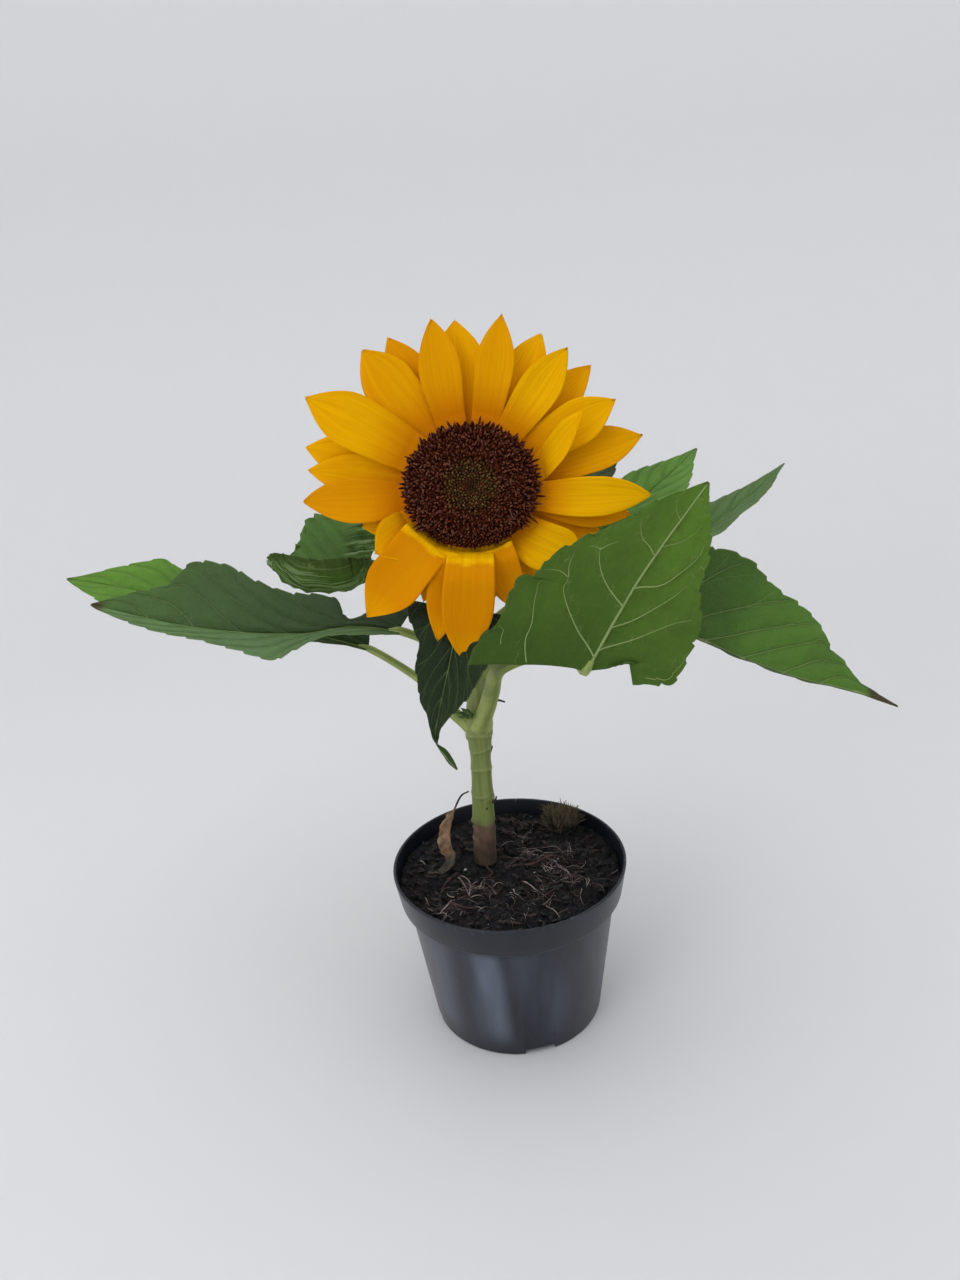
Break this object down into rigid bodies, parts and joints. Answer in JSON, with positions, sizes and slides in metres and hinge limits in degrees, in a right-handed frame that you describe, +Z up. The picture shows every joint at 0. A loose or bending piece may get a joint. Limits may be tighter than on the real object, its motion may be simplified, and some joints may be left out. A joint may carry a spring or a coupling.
{
  "type": "potted sunflower plant",
  "caption": "Young sunflower in bloom in a round tapered nursery pot: one upright stem, heart-shaped leaves on petioles, a flower head that faces sideways, and potting soil.",
  "frame": {"origin": "centre of the pot's flat underside, on the surface that it stands on", "axes": "+Z up, the flower faces -Y, +X to the right of a viewer who faces the flower"},
  "size_m": [0.3875, 0.2229, 0.3519],
  "materials": {
    "pot_plastic": "satin dark blue-grey polypropylene, scuffed at the lip",
    "potting_soil": "moist crumbly peat with roots and fibres",
    "moss": "matt olive-brown tuft",
    "dried_leaf": "matt brown withered blade",
    "stem_skin": "matt pale green with fine hairs and old leaf scars",
    "petiole_skin": "matt green",
    "leaf_green": "satin green with pale veins",
    "receptacle_green": "matt green bracts",
    "disc_florets": "dark maroon florets with an olive centre",
    "petal_yellow": "silky golden yellow"
  },
  "bodies": {
    "root": {"pot": "pot_plastic", "soil": "potting_soil", "moss_tuft": "moss", "dried_leaf": "dried_leaf", "stem": "stem_skin", "flower_receptacle": "receptacle_green", "flower_disc": "disc_florets", "petiole_left_long": "petiole_skin", "leaf_left_long": "leaf_green", "petiole_left_behind": "petiole_skin", "leaf_left_behind": "leaf_green", "petiole_left_crumpled": "petiole_skin", "leaf_left_crumpled": "leaf_green", "petiole_front_hanging": "petiole_skin", "leaf_front_hanging": "leaf_green", "petiole_front_right": "petiole_skin", "leaf_front_right": "leaf_green", "petiole_right_low": "petiole_skin", "leaf_right_low": "leaf_green", "petiole_right_high": "petiole_skin", "leaf_right_high": "leaf_green", "petiole_right_back": "petiole_skin", "leaf_right_back": "leaf_green", "petiole_behind_petals": "petiole_skin", "leaf_behind_petals": "leaf_green", "petiole_back_left": "petiole_skin", "leaf_back_left": "leaf_green", "petiole_back_right": "petiole_skin", "leaf_back_right": "leaf_green", "petal_01": "petal_yellow", "petal_02": "petal_yellow", "petal_03": "petal_yellow", "petal_04": "petal_yellow", "petal_05": "petal_yellow", "petal_06": "petal_yellow", "petal_07": "petal_yellow", "petal_08": "petal_yellow", "petal_09": "petal_yellow", "petal_10": "petal_yellow", "petal_11": "petal_yellow", "petal_12": "petal_yellow", "petal_13": "petal_yellow", "petal_14": "petal_yellow", "petal_15": "petal_yellow", "petal_16": "petal_yellow", "petal_17": "petal_yellow", "petal_18": "petal_yellow", "petal_19": "petal_yellow", "petal_20": "petal_yellow", "petal_21": "petal_yellow", "petal_22": "petal_yellow", "petal_23": "petal_yellow", "petal_24": "petal_yellow", "petal_25": "petal_yellow", "petal_26": "petal_yellow", "petal_27": "petal_yellow", "petal_28": "petal_yellow"}
  },
  "joints": []
}
